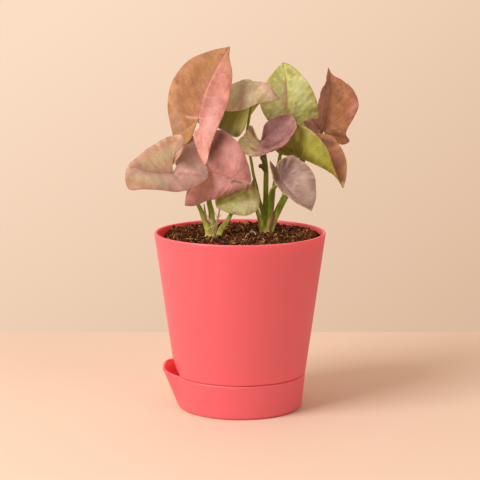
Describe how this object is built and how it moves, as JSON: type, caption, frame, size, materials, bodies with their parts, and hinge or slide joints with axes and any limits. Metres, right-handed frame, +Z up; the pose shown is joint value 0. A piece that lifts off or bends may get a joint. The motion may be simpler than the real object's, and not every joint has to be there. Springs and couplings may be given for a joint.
{
  "type": "potted arrowhead plant",
  "caption": "Young pink-leaved arrowhead plant in potting mix, in a tapered coral plastic pot that stands in a saucer with a pouring spout.",
  "frame": {"origin": "middle of the saucer's underside, at the surface it stands on", "axes": "+Z up along the pot's axis, +Y to the back, +X to the right; the saucer's spout points to -X"},
  "size_m": [0.154, 0.1146, 0.242],
  "materials": {
    "saucer_plastic": "satin coral polypropylene",
    "pot_plastic": "satin coral polypropylene",
    "mix": "moist coir and peat",
    "stalk": "smooth green leaf stalk",
    "blade_bronze": "soft leaf, orange brown and pink",
    "blade_pink": "soft leaf, salmon pink",
    "blade_mauve": "soft leaf, mauve pink",
    "blade_green": "soft leaf, light green with a pink midrib"
  },
  "bodies": {
    "root": {"saucer": "saucer_plastic", "pot": "pot_plastic", "potting_mix": "mix", "stems_left": "stalk", "stems_right": "stalk", "leaf_tall": "blade_bronze", "leaf_left": "blade_mauve", "leaf_salmon": "blade_pink", "leaf_cream": "blade_green", "leaf_arch": "blade_green", "leaf_green": "blade_green", "leaf_plum": "blade_mauve", "leaf_folded": "blade_green", "leaf_bronze": "blade_bronze", "leaf_mauve": "blade_mauve"}
  },
  "joints": []
}
